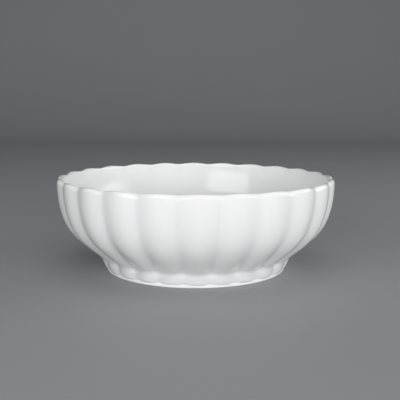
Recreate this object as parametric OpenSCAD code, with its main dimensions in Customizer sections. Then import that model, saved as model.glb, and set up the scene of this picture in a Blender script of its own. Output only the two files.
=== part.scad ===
// Fluted porcelain serving bowl on a lobed foot ring.
// The origin is the centre of the bare rim that it stands on, with +Z up.
// Each surface is a row of stations [r, z, dr, dz, row]: a point on a lobe's crest, how far it moves in and
// down at a groove, and its row number. Neighbouring pieces share stations, so they meet with no gap.

/* [Bowl] */
// Outside diameter across the lobes
rim_d = 260; // [240:1:280]
// Height to the top of the lip
bowl_h = 87; // [80:0.1:95]
// Thickness of the rounded lip at a crest
lip_t = 5.4; // [4.8:0.1:6.5]
// Height of the lip's rounding
lip_h = 3.2; // [2.4:0.1:4]
// Height of the flat floor inside
floor_z = 18.6; // [18:0.1:20]

/* [Lobes] */
// Number of lobes round the bowl
lobes = 24; // [16:1:28]
// Depth of the grooves between the lobes
groove = 2.6; // [1:0.1:3]
// How far the lip dips at each groove
scallop = 2.4; // [0:0.1:2.4]
// Depth of the grooves at the waist, straight in, as a share of their depth on the wall
waist_groove = 1.2; // [0.8:0.1:1.3]
// Width of the round at the bottom of a groove, as a share of the lobe
groove_round = 0.35; // [0.15:0.05:1]
// Depth of the flutes inside the lip, as a share of the grooves outside
inner_share = 0.05; // [0:0.05:0.3]

/* [Foot] */
// Diameter at the waist, where the wall meets the foot
waist_d = 182; // [176:1:186]
// Height of the waist
waist_z = 13.2; // [12.6:0.1:14]
// Diameter of the bead at the ground
bead_d = 170.4; // [168:0.1:172]
// Diameter inside the foot ring
well_d = 158.4; // [150:0.1:160]
// Thickness of the slip that joins the foot to the body
lute_t = 0.5; // [0.3:0.1:0.8]

/* [Glaze] */
// Thickness of the glaze
glaze_t = 0.3; // [0.2:0.05:0.4]
// Height of the line that the glaze is wiped back to
wipe_z = 0.4; // [0.3:0.05:0.6]
// How far the outside glaze runs down inside the lip
overlap = 4; // [3:0.5:8]

/* [Hidden] */

columns = 4 * lobes;
wall_rows = 8;
lip_rows = 4;
inner_rows = 8;
crest_a = -90; // one crest faces -Y

rim_r = rim_d / 2;
waist_r = waist_d / 2;
bead_r = bead_d / 2;
well_r = well_d / 2;
lip_z = bowl_h - lip_h;
under_z = waist_z - 0.4;    // flat underside of the body
floor_r = 0.54 * rim_r;     // where the floor turns up into the wall
scallop_drop = 30;          // the lip's dips fade out this far down the wall
lip_hold = 0.17;            // share of the way over the lip before they start to fade
inner_lean = 1.2;           // the inner wall leans out by this much towards the lip
waist_reach = 26;           // the grooves lie square to the wall from this far above the waist

// 0 in a groove, 1 on a crest
function lobe(a) = (sqrt(pow(cos(a * lobes / 2), 2) + pow(groove_round, 2)) - groove_round)
    / (sqrt(1 + pow(groove_round, 2)) - groove_round);
function smooth(t) = let (c = min(1, max(0, t))) c * c * (3 - 2 * c);
function bezier(p, t) = pow(1 - t, 3) * p[0] + 3 * pow(1 - t, 2) * t * p[1]
    + 3 * (1 - t) * t * t * p[2] + t * t * t * p[3];
function bezier_way(p, t) = (1 - t) * (1 - t) * (p[1] - p[0]) + 2 * (1 - t) * t * (p[2] - p[1])
    + t * t * (p[3] - p[2]);
function right_of(v) = [v[1], -v[0]] / norm(v);
function lip_dip(z) = scallop * smooth(1 - (lip_z - z) / scallop_drop);

// Profiles over a crest, as glazed
wall = [[waist_r, waist_z], [waist_r + 21, waist_z + 18.4], [rim_r - 0.7, waist_z + 24.4], [rim_r, lip_z]];
inner = [
    [rim_r - lip_t, lip_z],
    [rim_r - lip_t - inner_lean, floor_z + 24],
    [0.815 * rim_r, floor_z],
    [floor_r, floor_z]
];

// Stations up the foot, from the wiped line to just under the waist: the bead, then the lobes
foot_keys = [[-4.7, -10], [-3.8, -8.6], [-2.8, -6.2], [-1.7, -3.6]]; // across and up from the waist
foot_part = concat(
    [[bead_r - 0.1, wipe_z, 0, 0], [bead_r, wipe_z + 0.7, 0, 0], [bead_r - 0.4, wipe_z + 1.7, 0, 0]],
    [for (k = foot_keys) [waist_r + k[0], waist_z + k[1], 0.6 * groove, 0]],
    [[waist_r - 0.5, waist_z - 1, groove, 0]]
);
wall_part = [for (i = [0:wall_rows])
    let (
        t = i / wall_rows,
        p = bezier(wall, t),
        out = right_of(bezier_way(wall, t)),
        low = 1 - smooth((p[1] - waist_z) / waist_reach)
    )
    [p[0], p[1],
        groove * (out[0] * (1 - low) + waist_groove * low),
        groove * out[1] * (1 - low) + lip_dip(p[1])]];
lip_part = [for (i = [1:lip_rows - 1])
    let (
        t = i / lip_rows,
        a = 180 * t,
        share = 1 - (1 - inner_share) * smooth((t - lip_hold) / (1 - lip_hold))
    )
    [rim_r - lip_t * (1 - cos(a)) / 2, lip_z + lip_h * sin(a), groove * share, scallop * share]];
inner_part = [for (i = [0:inner_rows])
    let (
        t = i / inner_rows,
        p = bezier(inner, t),
        out = -right_of(bezier_way(inner, t)),
        share = inner_share * (1 - smooth(1.5 * t))
    )
    [p[0], p[1], groove * share * out[0], groove * share * out[1] + inner_share * lip_dip(p[1])]];
seam = let (z = lip_z - overlap) [rim_r - lip_t, z, inner_share * groove, inner_share * lip_dip(z)];

glazed = number_rows(concat(foot_part, wall_part, lip_part, [inner_part[0], seam],
    [for (i = [1:inner_rows]) inner_part[i]]), 0);
waist_row = len(foot_part);
seam_row = waist_row + wall_rows + lip_rows + 1;
last_row = len(glazed) - 1;

function number_rows(part, first) = [for (i = [0:len(part) - 1])
    [part[i][0], part[i][1], part[i][2], part[i][3], first + i]];
function flat(s) = [s[0], s[1]];
// The bare porcelain under a glazed station
function bare(i) = let (
        s = glazed[i],
        way = flat(glazed[min(last_row, i + 1)]) - flat(glazed[max(0, i - 1)]),
        p = flat(s) - glaze_t * (i == last_row ? [0, 1] : i == 0 ? [1, 0] : right_of(way))
    ) [p[0], p[1], s[2], s[3], s[4]];
function rows(first, last) = [for (i = [first:last]) glazed[i]];
function bare_rows(first, last) = [for (i = [first:last]) bare(i)];
function backwards(part) = [for (i = [len(part) - 1:-1:0]) part[i]];
function round_row(r, z, row) = [r, z, 0, 0, row];

// A solid from stations listed round its section. A closed one is a ring, and an open one runs
// from the axis to the axis.
module turned(stations, closed) {
    n = len(stations);
    points = [for (s = stations, c = [0:columns - 1])
        let (a = 360 * c / columns, in = 1 - lobe(a), r = s[0] - s[2] * in)
        [r * cos(a + crest_a), r * sin(a + crest_a), s[1] - s[3] * in]];
    sides = [for (i = [0:closed ? n - 1 : n - 2], c = [0:columns - 1])
        let (
            j = (i + 1) % n,
            d = (c + 1) % columns,
            p = i * columns + c,
            q = i * columns + d,
            u = j * columns + c,
            v = j * columns + d
        )
        each stations[j][4] > stations[i][4] ? [[p, u, v], [p, v, q]] : [[p, u, q], [q, u, v]]];
    ends = closed ? [] : [
        [for (c = [0:columns - 1]) c],
        [for (c = [columns - 1:-1:0]) (n - 1) * columns + c]
    ];
    polyhedron(points, concat(sides, ends), convexity = 8);
}

module bowl_body() {
    color("white") turned(concat([round_row(well_r, under_z, -1)], bare_rows(waist_row, last_row)), false);
}

module foot_ring() {
    ground = [
        round_row(well_r + 1.5, 0, -4),
        round_row(bead_r - 0.7, 0, -3),
        round_row(bead_r - 0.48, 0.3 * wipe_z, -2)
    ];
    inside = [round_row(well_r, under_z - lute_t, -6), round_row(well_r + 0.7, wipe_z, -5)];
    color("ghostwhite") turned(concat(ground, bare_rows(0, waist_row - 1), inside), true);
}

module foot_lute() {
    color("ivory") turned([
        round_row(well_r, under_z - lute_t, -6),
        bare(waist_row - 1),
        bare(waist_row),
        round_row(well_r, under_z, -1)
    ], true);
}

module glaze_outside() {
    color("snow") turned(concat(rows(0, seam_row), backwards(bare_rows(0, seam_row))), true);
}

module glaze_inside() {
    color("whitesmoke") turned(
        concat(backwards(bare_rows(seam_row, last_row)), rows(seam_row, last_row)), false);
}

module glaze_underside() {
    corner = 3; // the glaze lies thicker in the corner
    color("aliceblue") turned([
        round_row(well_r - corner - 2, under_z - glaze_t, -20),
        round_row(well_r - corner, under_z - glaze_t - 0.3, -19),
        round_row(well_r - 0.8, under_z - corner + 0.7, -18),
        round_row(well_r, under_z - corner - 2, -17),
        round_row(well_r + 0.7 - glaze_t, wipe_z, -16),
        round_row(well_r + 0.7, wipe_z, -5),
        round_row(well_r, under_z - lute_t, -6),
        round_row(well_r, under_z, -1)
    ], false);
}

bowl_body();
foot_ring();
foot_lute();
glaze_outside();
glaze_inside();
glaze_underside();
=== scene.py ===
# Fluted porcelain serving bowl: fine meshes for the porcelain, the slip and the glazes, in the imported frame.
import math

import bpy
import numpy as np
from mathutils import Euler, Matrix, Vector


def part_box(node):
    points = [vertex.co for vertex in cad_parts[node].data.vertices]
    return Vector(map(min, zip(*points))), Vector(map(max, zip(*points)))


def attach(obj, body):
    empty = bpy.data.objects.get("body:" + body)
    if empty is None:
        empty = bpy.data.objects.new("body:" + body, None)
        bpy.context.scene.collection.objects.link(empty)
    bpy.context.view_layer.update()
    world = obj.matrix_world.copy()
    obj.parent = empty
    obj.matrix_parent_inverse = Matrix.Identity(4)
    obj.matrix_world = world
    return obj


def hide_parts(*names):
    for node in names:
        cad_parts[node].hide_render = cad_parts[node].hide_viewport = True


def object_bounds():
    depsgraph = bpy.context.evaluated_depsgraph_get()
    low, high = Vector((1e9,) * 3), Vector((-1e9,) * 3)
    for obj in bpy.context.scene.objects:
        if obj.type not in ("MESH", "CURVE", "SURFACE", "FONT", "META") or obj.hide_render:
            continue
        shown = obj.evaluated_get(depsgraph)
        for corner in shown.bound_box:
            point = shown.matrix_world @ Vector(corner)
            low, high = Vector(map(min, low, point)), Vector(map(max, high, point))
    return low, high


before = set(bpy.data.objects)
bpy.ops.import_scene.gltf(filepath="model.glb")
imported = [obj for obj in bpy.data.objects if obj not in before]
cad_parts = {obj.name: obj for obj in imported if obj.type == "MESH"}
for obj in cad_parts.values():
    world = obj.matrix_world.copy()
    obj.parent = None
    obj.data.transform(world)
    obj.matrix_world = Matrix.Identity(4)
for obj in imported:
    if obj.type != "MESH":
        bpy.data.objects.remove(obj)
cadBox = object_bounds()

mm = 0.001
print("bowl: frame loaded, box", [round(v / mm, 1) for v in cadBox[1] - cadBox[0]])


def nodeLow(node):
    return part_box(node)[0] / mm


def nodeHigh(node):
    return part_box(node)[1] / mm


rimR = cadBox[1].x / mm  # every size is in millimetres until a mesh is made
lipTop = cadBox[1].z / mm
glazeThick = rimR - nodeHigh("bowl_body").x
underZ = nodeLow("bowl_body").z  # flat underside of the porcelain body
floorZ = nodeLow("glaze_inside").z + glazeThick  # glazed floor inside
wipeZ = nodeLow("glaze_outside").z  # the glaze is wiped back to this line

bowl = {
    "lobes": 24,
    "columnsPerLobe": 16,
    "columnCrowding": 0.5,  # crowds the columns into the grooves
    "groove": 2.6,  # depth between the lobes
    "waistGroove": 1.2,  # the grooves cut straight in at the waist, by this share of the depth
    "waistReach": 26.0,  # and square to the wall from this far above it
    "grooveRound": 0.35,
    "scallop": 2.4,  # how far the lip dips at a groove
    "dipFade": 30.0,  # the lip's dips fade out this far down the wall
    "waistR": 91.0,
    "waistUp": 0.4,  # the waist lies this far above the body's underside
    "wallStart": (21.0, 18.4),  # from the waist to the wall's first control point
    "belly": (0.7, 24.4),  # second control point: in from the rim and up from the waist
    "lipThick": 5.4,
    "lipRise": 3.2,
    "seamDrop": 4.0,  # the outside glaze ends this far down inside the lip
    "lipHold": 0.17,  # share of the way over the lip before its dips start to fade
    "innerLean": 1.2,  # the inner wall leans out by this much towards the lip
    "innerShare": 0.05,  # flutes inside the lip, as a share of those outside
    "innerRise": 24.0,  # height of the inner wall's second control point above the floor
    "innerTurn": 0.815,  # radii, as shares of the rim's, where the wall turns into the floor
    "floorShare": 0.54,
    "wobble": 0.10,  # how far the hand-finished wall strays from true
}
lipZ = lipTop - bowl["lipRise"]
waistZ = underZ + bowl["waistUp"]
foot = {
    "beadR": 85.2,
    "beadKeys": ((-0.1, 0.0), (0.0, 0.7), (-0.2, 1.7)),  # across from the bead and up from the wiped line
    "lobeKeys": ((-4.7, -10.0), (-3.8, -8.6), (-2.8, -6.2), (-1.7, -3.6)),  # from the waist
    "lobeTop": (-0.5, -1.0),
    "lobeDepth": 0.6,  # groove depth on the foot, as a share of the wall's
    "topDepth": 1.0,
    "wellTaper": 0.7,  # the inner wall leans out by this much
}
wellR = nodeHigh("glaze_underside").x - foot["wellTaper"]
rounds = {
    "general": 0.5,  # widths that the glaze is smoothed over
    "waist": 3.5,
    "waistReach": 11.0,
    "wall": 1.5,
    "wallReach": 8.0,
}


def lobe(a):  # 0 in a groove and 1 on a crest, with a in radians from a crest
    soft = bowl["grooveRound"]
    swing = np.sqrt(np.cos(a * bowl["lobes"] / 2) ** 2 + soft**2) - soft
    return swing / (math.sqrt(1 + soft**2) - soft)


def smooth(t):
    c = np.clip(t, 0, 1)
    return c * c * (3 - 2 * c)


def bezier(p, t):
    p, t = np.array(p, float), np.asarray(t, float)[:, None]
    u = 1 - t
    return u**3 * p[0] + 3 * u**2 * t * p[1] + 3 * u * t**2 * p[2] + t**3 * p[3]


def rightOf(line):  # unit vectors square to a line of points, on its right-hand side
    way = np.gradient(line, axis=0)
    out = np.c_[way[:, 1], -way[:, 0]]
    return out / np.linalg.norm(out, axis=1)[:, None]


def lipDip(z):
    return bowl["scallop"] * smooth(1 - (lipZ - z) / bowl["dipFade"])


# A path is rows of [r, z, dr, dz]: a point over a crest, and how far it moves in and down at a groove.
def wallPath():
    startR, startZ = bowl["wallStart"]
    bellyIn, bellyUp = bowl["belly"]
    keys = [
        (bowl["waistR"], waistZ),
        (bowl["waistR"] + startR, waistZ + startZ),
        (rimR - bellyIn, waistZ + bellyUp),
        (rimR, lipZ),
    ]
    line = bezier(keys, np.linspace(0, 1, 400))
    out = rightOf(line)
    low = 1 - smooth((line[:, 1] - waistZ) / bowl["waistReach"])
    across = bowl["groove"] * (out[:, 0] * (1 - low) + bowl["waistGroove"] * low)
    down = bowl["groove"] * out[:, 1] * (1 - low) + lipDip(line[:, 1])
    return np.c_[line, across, down]


def footPath(waistRow):
    depth = foot["lobeDepth"] * bowl["groove"]
    keys = [(foot["beadR"] + r, wipeZ + z, 0, 0) for r, z in foot["beadKeys"]]
    keys += [(bowl["waistR"] + r, waistZ + z, depth, 0) for r, z in foot["lobeKeys"]]
    topR, topZ = foot["lobeTop"]
    keys.append((bowl["waistR"] + topR, waistZ + topZ, foot["topDepth"] * bowl["groove"], 0))
    return alongKeys(np.array(keys + [tuple(waistRow)]), 16)[:-1]


def alongKeys(keys, steps):  # a smooth line through every key
    ends = np.vstack([2 * keys[0] - keys[1], keys, 2 * keys[-1] - keys[-2]])
    line = []
    for i in range(1, len(ends) - 2):
        a, b, c, d = ends[i - 1:i + 3]
        for t in np.arange(steps) / steps:
            line.append(0.5 * (2 * b + (c - a) * t + (2 * a - 5 * b + 4 * c - d) * t**2
                               + (3 * b - a - 3 * c + d) * t**3))
    return np.array(line + [keys[-1]])


def lipPath():
    t = np.linspace(0, 1, 60)[1:-1]
    fade = smooth((t - bowl["lipHold"]) / (1 - bowl["lipHold"]))
    share = 1 - (1 - bowl["innerShare"]) * fade
    r = rimR - bowl["lipThick"] * (1 - np.cos(math.pi * t)) / 2
    z = lipZ + bowl["lipRise"] * np.sin(math.pi * t)
    return np.c_[r, z, bowl["groove"] * share, bowl["scallop"] * share]


def innerPath():
    top, floorR = rimR - bowl["lipThick"], bowl["floorShare"] * rimR
    keys = [
        (top, lipZ),
        (top - bowl["innerLean"], floorZ + bowl["innerRise"]),
        (bowl["innerTurn"] * rimR, floorZ),
        (floorR, floorZ),
    ]
    t = np.linspace(0, 1, 400)
    line = bezier(keys, t)
    share = bowl["innerShare"] * (1 - smooth(1.5 * t))
    out = -rightOf(line) * (bowl["groove"] * share)[:, None]
    return np.c_[line, out[:, 0], out[:, 1] + bowl["innerShare"] * lipDip(line[:, 1])]


def pathLength(path):
    return np.r_[0, np.cumsum(np.linalg.norm(np.diff(path[:, :2], axis=0), axis=1))]


def pick(path, lengths, at):
    return np.column_stack([np.interp(at, lengths, column) for column in path.T])


def soften(path, widths):  # averages each row over its own width of path, as glaze rounds a corner
    s = pathLength(path)
    steps = (path[1:] + path[:-1]) / 2 * np.diff(s)[:, None]
    total = np.vstack([np.zeros(4), np.cumsum(steps, axis=0)])
    half = np.minimum(widths / 2, np.minimum(s - s[0], s[-1] - s))
    half = np.maximum(half, 1e-4)
    soft = (pick(total, s, s + half) - pick(total, s, s - half)) / (2 * half)[:, None]
    return np.where((half > 1e-3)[:, None], soft, path)


def respace(path, marks, gaps):  # rows at even gaps between marks, which are lengths, with a row on each mark
    at = [marks[0]]
    for a, b, gap in zip(marks, marks[1:], gaps):
        count = max(1, round((b - a) / gap))
        at += list(a + (b - a) * np.arange(1, count + 1) / count)
    return pick(path, pathLength(path), at), np.array(at)


wall = wallPath()
footWall = footPath(wall[0])
profile = np.vstack([footWall, wall, lipPath(), innerPath()])
length = pathLength(profile)
waistAt = length[len(footWall)]
lipAt = length[len(footWall) + len(wall) - 1]
inLipAt = length[len(footWall) + len(wall) + 58]
seamAt = inLipAt + bowl["seamDrop"]
for _ in range(2):
    nearWaist = smooth(1 - np.abs(length - waistAt) / rounds["waistReach"])
    upWall = smooth((length - waistAt) / rounds["wallReach"])
    profile = soften(profile, rounds["general"] + rounds["waist"] * nearWaist + rounds["wall"] * upWall)

# lengths along the path where the spacing of the rows changes, and the gap up to the next one
spacing = [
    (0, 0.5),
    (waistAt - 1, 0.5),
    (waistAt, 0.8),
    (waistAt + 6, 1.7),
    (lipAt - 4, 0.45),
    (inLipAt + 1, 1.0),
    (seamAt, 2.0),
]
marks = [mark for mark, gap in spacing] + [length[-1]]
rowsPath, rowsAt = respace(profile, marks, [gap for mark, gap in spacing])


def rowAt(mark):
    return int(np.argmin(np.abs(rowsAt - mark)))


luteRow, waistRow, seamRow = rowAt(waistAt - 1), rowAt(waistAt), rowAt(seamAt)

part = np.arange(bowl["columnsPerLobe"]) / bowl["columnsPerLobe"]
part = part + bowl["columnCrowding"] * np.sin(2 * math.pi * part) / (2 * math.pi)
turn = 2 * math.pi * np.concatenate([(k + part) / bowl["lobes"] for k in range(bowl["lobes"])])

# slow waves round and up the wall: waves round, waves per millimetre, phase, weight
strayWaves = [
    (2, 0.031, 0.4, 1.0),
    (3, 0.052, 2.1, 0.8),
    (5, 0.073, 4.0, 0.5),
    (11, 0.11, 1.2, 0.3),
    (17, 0.17, 3.3, 0.2),
]


def strayAt(s):  # how far each point of a row strays inwards
    total = sum(w * np.sin(n * turn[None, :] + k * s[:, None] + p) for n, k, p, w in strayWaves)
    return bowl["wobble"] * (1 + total / sum(w for *_, w in strayWaves)) / 2


def sweep(path, out, stray):  # one ring of points for each row of the path
    dip = 1 - lobe(turn)[None, :]
    r = path[:, :1] - path[:, 2:3] * dip - out[:, :1] * stray
    z = path[:, 1:2] - path[:, 3:4] * dip - out[:, 1:2] * stray
    return np.stack([r * np.sin(turn), -r * np.cos(turn), z], axis=2)


rowsOut = rightOf(rowsPath[:, :2])
rowsOut[0] = (1, 0)
rowsOut[-1] = (0, 1)
stray = strayAt(rowsAt) * smooth((rowsPath[:, 1] - 3) / 12)[:, None]
glazed = sweep(rowsPath, rowsOut, stray)
bare = sweep(np.c_[rowsPath[:, :2] - glazeThick * rowsOut, rowsPath[:, 2:]], rowsOut, stray)
print("bowl: profile has", len(rowsAt), "rows of", len(turn), "points")


def roundRings(points):
    path = np.array([(r, z, 0, 0) for r, z in points], float)
    return sweep(path, np.zeros((len(path), 2)), np.zeros((len(path), len(turn))))


def flatRings(radii, z):
    return roundRings([(r, z) for r in radii])


def makePiece(name, rings, closed, material, node):
    # rings are listed round the section: a closed list is a ring, and an open one starts and ends on the axis
    n, c = rings.shape[:2]
    points = rings.reshape(-1, 3) * mm
    i = np.arange(n if closed else n - 1)[:, None]
    k = np.arange(c)[None, :]
    j, d = (i + 1) % n, (k + 1) % c
    faces = np.stack([i * c + k, i * c + d, j * c + d, j * c + k], axis=2).reshape(-1, 4).tolist()
    if not closed:
        axis = [(0, 0, rings[0, 0, 2] * mm), (0, 0, rings[-1, 0, 2] * mm)]
        points = np.vstack([points, axis])
        first, last = n * c, n * c + 1
        around = [(m, (m + 1) % c) for m in range(c)]
        faces += [[first, b, a] for a, b in around]
        faces += [[last, (n - 1) * c + a, (n - 1) * c + b] for a, b in around]
    mesh = bpy.data.meshes.new(name)
    mesh.from_pydata(points.tolist(), [], faces)
    mesh.polygons.foreach_set("use_smooth", np.ones(len(mesh.polygons), bool))
    mesh.set_sharp_from_angle(angle=math.radians(50))
    mesh.materials.append(material)
    piece = bpy.data.objects.new(name, mesh)
    bpy.context.scene.collection.objects.link(piece)
    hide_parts(node)
    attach(piece, "root")


class Wire:
    # a shader value that Python's arithmetic works on

    def __init__(self, nodes, socket):
        self.nodes, self.socket = nodes, socket

    def maths(self, operation, *values):
        return self.nodes.add("ShaderNodeMath", {"operation": operation}, dict(enumerate(values)))

    def __add__(self, other):
        return self.maths("ADD", self, other)

    def __radd__(self, other):
        return self.maths("ADD", other, self)

    def __sub__(self, other):
        return self.maths("SUBTRACT", self, other)

    def __rsub__(self, other):
        return self.maths("SUBTRACT", other, self)

    def __mul__(self, other):
        return self.maths("MULTIPLY", self, other)

    def __rmul__(self, other):
        return self.maths("MULTIPLY", other, self)

    def __truediv__(self, other):
        return self.maths("DIVIDE", self, other)

    def __pow__(self, other):
        return self.maths("POWER", self, other)

    def __abs__(self):
        return self.maths("ABSOLUTE", self)


class Nodes:
    # short ways to build a node tree

    def __init__(self, tree):
        self.tree = tree

    def add(self, kind, settings=None, sockets=None, out=0):
        node = self.tree.nodes.new(kind)
        for key, value in (settings or {}).items():
            if key == "stops":
                self.setStops(node.color_ramp, value)
            else:
                setattr(node, key, value)
        for key, value in (sockets or {}).items():
            self.feed(node.inputs[key], value)
        return Wire(self, node.outputs[out])

    def setStops(self, ramp, stops):
        while len(ramp.elements) < len(stops):
            ramp.elements.new(1)
        for element, (place, grey) in zip(ramp.elements, stops):
            element.position = place
            element.color = (grey, grey, grey, 1)

    def feed(self, socket, value):
        if isinstance(value, Wire):
            self.tree.links.new(value.socket, socket)
        else:
            socket.default_value = value

    def mix(self, mask, first, second):
        sockets = {0: mask, 6: first, 7: second}
        return self.add("ShaderNodeMix", {"data_type": "RGBA", "clamp_factor": True}, sockets, 2)

    def place(self):
        return self.add("ShaderNodeTexCoord", out=3)

    def axis(self, k):
        return self.add("ShaderNodeSeparateXYZ", None, {0: self.place()}, k)

    def radius(self):
        flat = self.add("ShaderNodeVectorMath", {"operation": "MULTIPLY"}, {0: self.place(), 1: (1, 1, 0)})
        return self.add("ShaderNodeVectorMath", {"operation": "LENGTH"}, {0: flat}, 1)

    def noise(self, perMetre, detail=2.0, rough=0.5):
        sockets = {"Vector": self.place(), "Scale": perMetre, "Detail": detail, "Roughness": rough}
        return self.add("ShaderNodeTexNoise", None, sockets)

    def spots(self, perMetre, core, edge):
        sockets = {"Vector": self.place(), "Scale": perMetre}
        return self.ramp(self.add("ShaderNodeTexVoronoi", None, sockets), [(core, 1.0), (edge, 0.0)])

    def ramp(self, value, stops):
        return self.add("ShaderNodeValToRGB", {"stops": stops}, {0: value})

    def band(self, value, centre, half):  # 1 at the centre, fading to 0 half a width away
        far = abs((value - centre) / half)
        return self.add("ShaderNodeMapRange", {"interpolation_type": "SMOOTHSTEP", "clamp": True},
                        {0: far, 1: 1.0, 2: 0.0, 3: 0.0, 4: 1.0})


class Finish(Nodes):
    # a material with one Principled shader

    def __init__(self, name, settings):
        self.material = bpy.data.materials.new(name)
        self.material.use_nodes = True
        super().__init__(self.material.node_tree)
        self.shader = next(n for n in self.tree.nodes if n.type == "BSDF_PRINCIPLED")
        for socket, value in settings.items():
            self.shader.inputs[socket].default_value = value

    def drive(self, height=None, **sockets):
        names = {"color": "Base Color", "roughness": "Roughness", "coat": "Coat Weight"}
        for key, value in sockets.items():
            self.feed(self.shader.inputs[names[key]], value)
        if height:  # in millimetres
            bump = self.add("ShaderNodeBump", None, {"Height": height, "Strength": 1.0, "Distance": mm})
            self.feed(self.shader.inputs["Normal"], bump)


glazeLook = {
    "white": (0.83, 0.832, 0.832, 1),
    "paintedShade": (0.77, 0.785, 0.79, 1),  # painted shade: a darker, bluish glaze colour laid in the grooves, round the waist crease and in the crevice above the bead
    "thin": (0.85, 0.842, 0.825, 1),  # where it draws away over an edge
    "speck": (0.45, 0.42, 0.38, 1),
    "rolls": (50.0, 0.05),  # per metre, and height in millimetres
    "peel": (230.0, 0.012),
    "smear": (600.0, 0.002),
    "roughness": 0.07,
    "smudge": 0.05,
    "wallFrom": (0.62, 0.70),  # shares of the rim's radius between which the painted shade sets in
    # painted shade in the grooves, at the waist crease and in the crevice above the bead, where shade falls
    "groovePool": (2.5, 0.5),  # power and weight
    "waistShade": (4.0, 0.8),  # half width in millimetres, and weight
    "creviceShade": (1.2, 2.2, 0.8),  # height above the wiped line and half width in millimetres, and weight
    "shadeDrift": (0.6, 0.8),
    "thinLip": (3.0, 0.6),  # half width in millimetres, and weight
    "thinDrift": 0.25,
    "coat": (0.06, 0.1),  # least, and how much it drifts by
}


def glazeFinish(name, rolls=1.0, peel=1.0, shadeAmount=1.0):
    look = glazeLook
    f = Finish(name, {"IOR": 1.5, "Coat Roughness": 0.03, "Coat IOR": 1.5})
    angle = f.add("ShaderNodeMath", {"operation": "ARCTAN2"}, {0: f.axis(0), 1: f.axis(1)})
    groove = 1 - abs(f.add("ShaderNodeMath", {"operation": "COSINE"}, {0: angle * (bowl["lobes"] / 2)}))
    wallStart, wallEnd = look["wallFrom"]
    onWall = f.ramp(f.radius() / (rimR * mm), [(wallStart, 0.0), (wallEnd, 1.0)])
    z = f.axis(2)
    groovePower, grooveWeight = look["groovePool"]
    waistHalf, waistWeight = look["waistShade"]
    creviceUp, creviceHalf, creviceWeight = look["creviceShade"]
    lipHalf, lipWeight = look["thinLip"]
    least, swing = look["shadeDrift"]
    # painted shade: the glaze colour is darkened in the grooves, round the waist crease and in the crevice
    # above the bead
    waist = f.band(z, waistZ * mm, waistHalf * mm)
    crevice = f.band(z, (wipeZ + creviceUp) * mm, creviceHalf * mm)
    drift = f.noise(26, 3.0)
    paintedShade = groove**groovePower * grooveWeight + waist * waistWeight + crevice * creviceWeight
    paintedShade = paintedShade * onWall * ((least + drift * swing) * shadeAmount)
    thin = f.band(z, lipTop * mm, lipHalf * mm) * lipWeight + drift * look["thinDrift"]
    color = f.mix(paintedShade, f.mix(thin, look["white"], look["thin"]), look["paintedShade"])
    specks = f.spots(70.0, 0.016, 0.024) * f.ramp(drift, [(0.55, 0.0), (0.6, 0.5)])
    smudge = f.noise(48, 4.0, 0.65)
    height = (f.noise(look["rolls"][0], 1.0) * (look["rolls"][1] * rolls)
              + f.noise(look["peel"][0], 1.5) * (look["peel"][1] * peel)
              + f.noise(look["smear"][0], 2.0) * look["smear"][1])
    leastCoat, coatDrift = look["coat"]
    f.drive(color=f.mix(specks, color, look["speck"]), roughness=look["roughness"] + smudge * look["smudge"],
            coat=leastCoat + drift * coatDrift, height=height)
    return f.material


bareLook = {
    "body": (0.80, 0.785, 0.76, 1),
    "patch": (0.74, 0.725, 0.70, 1),
    "grain": (0.60, 0.58, 0.55, 1),
    "worn": (0.50, 0.48, 0.45, 1),  # rubbed in where it stands
    "grainHeight": 0.03,
    "sandLines": 3.3,  # sanding marks per millimetre across the rim
    "lineHeight": 0.012,
    "roughness": 0.52,
}


def porcelainFinish():
    look = bareLook
    f = Finish("barePorcelain", {"IOR": 1.5, "Specular IOR Level": 0.3})
    grain = f.noise(1800, 3.0, 0.7)
    patch = f.noise(60, 3.0)
    across = (f.radius() / mm + patch * 0.8) * (2 * math.pi * look["sandLines"])
    lines = f.add("ShaderNodeMath", {"operation": "SINE"}, {0: across})
    ground = f.band(f.axis(2), 0.0, 0.8 * mm)
    color = f.mix(patch, look["body"], look["patch"])
    color = f.mix(grain**3 * 0.6, color, look["grain"])
    color = f.mix(ground * f.ramp(patch, [(0.45, 0.0), (0.75, 0.45)]), color, look["worn"])
    f.drive(color=color, roughness=look["roughness"] + grain * 0.22 - ground * 0.1,
            height=grain * look["grainHeight"] + lines * ground * look["lineHeight"])
    return f.material


slipLook = {
    "dry": (0.78, 0.765, 0.74, 1),
    "patch": (0.72, 0.70, 0.67, 1),
    "lump": (0.66, 0.64, 0.61, 1),
    "lumpHeight": 0.06,
}


def slipFinish():
    look = slipLook
    f = Finish("firedSlip", {"IOR": 1.5, "Specular IOR Level": 0.25})
    lumps = f.noise(900, 4.0, 0.6)
    color = f.mix(lumps**2, f.mix(f.noise(120), look["dry"], look["patch"]), look["lump"])
    f.drive(color=color, roughness=0.6 + lumps * 0.2, height=lumps * look["lumpHeight"])
    return f.material


dippedGlaze = glazeFinish("glazeDipped")
# the poured glaze inside carries a tenth of the painted shade
pouredGlaze = glazeFinish("glazePoured", rolls=1.5, peel=3.0, shadeAmount=0.1)
baseGlaze = glazeFinish("glazeBase")
bareFinish = porcelainFinish()
lutedFinish = slipFinish()
print("bowl: finishes made")

floorRadii = bowl["floorShare"] * rimR * np.array([0.9, 0.78, 0.64, 0.5, 0.36, 0.24, 0.12, 0.04])
underRadii = wellR * np.array([0.05, 0.15, 0.3, 0.5, 0.7, 0.85])
floorTop = flatRings(floorRadii, floorZ)
floorBare = flatRings(floorRadii, floorZ - glazeThick)
wellTop = roundRings([(wellR, underZ)])

outsideRings = [glazed[:seamRow + 1], bare[seamRow::-1]]
insideRings = [floorBare[::-1], bare[:seamRow - 1:-1], glazed[seamRow:], floorTop]
bodyRings = [flatRings(underRadii, underZ), wellTop, bare[waistRow:], floorBare]
makePiece("glazeOutside", np.concatenate(outsideRings), True, dippedGlaze, "glaze_outside")
makePiece("glazeInside", np.concatenate(insideRings), False, pouredGlaze, "glaze_inside")
makePiece("bowlBody", np.concatenate(bodyRings), False, bareFinish, "bowl_body")

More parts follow.
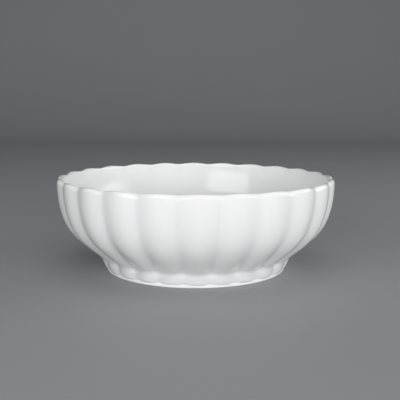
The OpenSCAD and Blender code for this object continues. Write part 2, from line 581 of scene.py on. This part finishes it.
lute = {
    "thick": 0.5,
}
luteZ = underZ - lute["thick"]
luteRings = [flatRings([wellR], luteZ), bare[luteRow:waistRow + 1], wellTop]
makePiece("footLute", np.concatenate(luteRings), True, lutedFinish, "foot_lute")

standing = {
    "inRound": 0.8,  # rounds where the flat rim meets the inner and outer walls
    "outRound": 0.3,
    "flatSteps": 8,
    "wallSteps": 14,
}


def standingRim():  # the bare rim it stands on, from its inner wiped line round to the outer one
    inR, outR = wellR + foot["wellTaper"], float(np.hypot(*bare[0, 0, :2]))
    turned = np.linspace(0, math.pi / 2, 9)
    inRound, outRound = standing["inRound"], standing["outRound"]
    inside = [(inR + inRound * (1 - math.cos(t)), wipeZ * (1 - math.sin(t))) for t in turned]
    outside = [(outR - outRound * (1 - math.sin(t)), wipeZ * (1 - math.cos(t))) for t in turned]
    flat = [(r, 0.0) for r in np.linspace(inside[-1][0], outside[0][0], standing["flatSteps"])[1:-1]]
    return inside + flat + outside[:-1]


wellShares = np.linspace(0, 1, standing["wallSteps"])
wellWall = [(wellR + foot["wellTaper"] * t, luteZ + (wipeZ - luteZ) * t) for t in wellShares]
footRings = [roundRings(standingRim()), bare[:luteRow + 1], roundRings(wellWall[:-1])]
makePiece("footRing", np.concatenate(footRings), True, bareFinish, "foot_ring")

baseCoat = {
    "cornerR": 3.0,  # the glaze gathers in a round where the base meets the foot
    "cornerFill": 0.5,
    "runIn": 2.5,
}


def baseCoatLine():  # from below: flat, round the corner, then down the foot's inner wall
    top, corner = underZ - glazeThick, baseCoat["cornerR"]
    flat = [(r, top) for r in underRadii] + [(wellR - corner - baseCoat["runIn"], top)]
    cornerMid = wellR - corner - baseCoat["cornerFill"]
    turned = [(cornerMid + corner * math.sin(t), top - corner * (1 - math.cos(t)))
              for t in np.linspace(0.05, 1, 14) * math.pi / 2]
    (startR, startZ), endR = turned[-1], wellR + foot["wellTaper"] - glazeThick
    shares = np.linspace(0, 1, 12)[1:]
    down = [(startR + (endR - startR) * t, startZ + (wipeZ - startZ) * t) for t in shares]
    return flat + turned + down


underBare = flatRings(underRadii[::-1], underZ)
baseRings = [roundRings(baseCoatLine()), roundRings(wellWall[::-1]), wellTop, underBare]
makePiece("glazeUnderside", np.concatenate(baseRings), False, baseGlaze, "glaze_underside")
print("bowl: pieces made")

stage = {
    "halfWidth": 4.0,
    "front": -4.0,
    "coveStart": 1.7,  # where the floor starts to curve up behind
    "coveR": 0.9,
    "top": 4.0,
    "paint": (0.33, 0.334, 0.341, 1),
    "paintDrift": (0.316, 0.32, 0.327, 1),
    "world": (0.25, 0.252, 0.255, 1),
}


def makeStage():
    half, start, coveR = stage["halfWidth"], stage["coveStart"], stage["coveR"]
    turned = np.linspace(0, math.pi / 2, 25)
    line = [(stage["front"], 0.0)]
    line += [(start + coveR * math.sin(t), coveR * (1 - math.cos(t))) for t in turned]
    line.append((start + coveR, stage["top"]))
    points = [(x, y, z) for y, z in line for x in (-half, half)]
    faces = [(2 * i, 2 * i + 1, 2 * i + 3, 2 * i + 2) for i in range(len(line) - 1)]
    mesh = bpy.data.meshes.new("studioCove")
    mesh.from_pydata(points, [], faces)
    mesh.polygons.foreach_set("use_smooth", np.ones(len(faces), bool))
    f = Finish("studioPaint", {"Specular IOR Level": 0.2})
    f.drive(color=f.mix(f.noise(3), stage["paint"], stage["paintDrift"]), roughness=0.6 + f.noise(20) * 0.1)
    mesh.materials.append(f.material)
    cove = bpy.data.objects.new("studioCove", mesh)
    bpy.context.scene.collection.objects.link(cove)


# around is in degrees from the front towards the right, and up in degrees; radiance is at the lamp's middle,
# and a lamp that isn't mirrored lights the glaze without being seen in it
lamps = {
    "key": {
        "around": 16,
        "up": 9,
        "far": 1.9,
        "size": (3.4, 1.3),
        "radiance": 5.75,
        "edge": 0.45,
        "mirrored": False,
    },
    "glow": {
        "around": 16,
        "up": 12,
        "far": 2.0,
        "size": (3.4, 1.3),
        "radiance": 0.5,
        "edge": 0.45,
        "mirrored": True,
    },
    "left": {
        "around": -34,
        "up": 15,
        "far": 1.5,
        "size": (1.25, 0.75),
        "radiance": 3.1,
        "edge": 0.12,
        "mirrored": True,
    },
    "right": {
        "around": 92,
        "up": 16,
        "far": 1.7,
        "size": (1.8, 1.1),
        "radiance": 3.6,
        "edge": 0.4,
        "mirrored": True,
    },
    "top": {
        "around": 0,
        "up": 80,
        "far": 1.7,
        "size": (1.8, 1.4),
        "radiance": 1.1,
        "edge": 0.35,
        "mirrored": True,
    },
}


def makeLamp(name, around, up, far, size, radiance, edge, mirrored):
    light = bpy.data.lights.new(name, "AREA")
    light.shape = "RECTANGLE"
    light.size, light.size_y = size
    light.energy = radiance * math.pi * size[0] * size[1]
    light.use_nodes = True
    n = Nodes(light.node_tree)
    across = n.add("ShaderNodeNewGeometry", out=5)
    strength = 1.0
    for k in range(2):  # the cloth of the softbox darkens towards its edges
        away = abs(n.add("ShaderNodeSeparateXYZ", None, {0: across}, k) - 0.5)
        strength = strength * n.add("ShaderNodeMapRange", {"interpolation_type": "SMOOTHSTEP", "clamp": True},
                                    {0: away, 1: 0.5, 2: 0.5 - edge, 3: 0.0, 4: 1.0})
    n.feed(light.node_tree.nodes["Emission"].inputs["Strength"], strength)
    holder = bpy.data.objects.new(name, light)
    around, up = math.radians(around), math.radians(up)
    middle = Vector((0, 0, lipTop * mm / 2))
    way = Vector((math.sin(around) * math.cos(up), -math.cos(around) * math.cos(up), math.sin(up)))
    holder.location = middle + far * way
    holder.rotation_euler = (-way).to_track_quat("-Z", "Y").to_euler()
    holder.visible_camera = False
    holder.visible_glossy = mirrored
    bpy.context.scene.collection.objects.link(holder)


def makeWorld():
    world = bpy.data.worlds.new("studio")
    world.use_nodes = True
    world.node_tree.nodes["Background"].inputs[0].default_value = stage["world"]
    bpy.context.scene.world = world


shot = {
    "distance": 0.679,  # from the bowl's axis
    "height": 0.1644,
    "around": -0.865,  # degrees round from -Y
    "tilt": 8.468,  # degrees below the horizon
    "heading": 0.344,  # degrees that it looks past the axis
    "roll": 0.2,
    "lens": 64.8,
    "sensor": 36.0,
}


def makeCamera():
    data = bpy.data.cameras.new("camera")
    data.lens, data.sensor_width = shot["lens"], shot["sensor"]
    camera = bpy.data.objects.new("camera", data)
    around = math.radians(shot["around"])
    far, tilt, heading = shot["distance"], math.radians(90 - shot["tilt"]), math.radians(shot["heading"])
    camera.location = (far * math.sin(around), -far * math.cos(around), shot["height"])
    look = Euler((tilt, 0, around - heading), "XYZ").to_matrix()
    camera.rotation_euler = (look @ Matrix.Rotation(math.radians(shot["roll"]), 3, "Z")).to_euler()
    bpy.context.scene.collection.objects.link(camera)
    bpy.context.scene.camera = camera


makeStage()
for name, lamp in lamps.items():
    makeLamp(name, **lamp)
makeWorld()
makeCamera()
bpy.context.scene.view_settings.view_transform = "Standard"
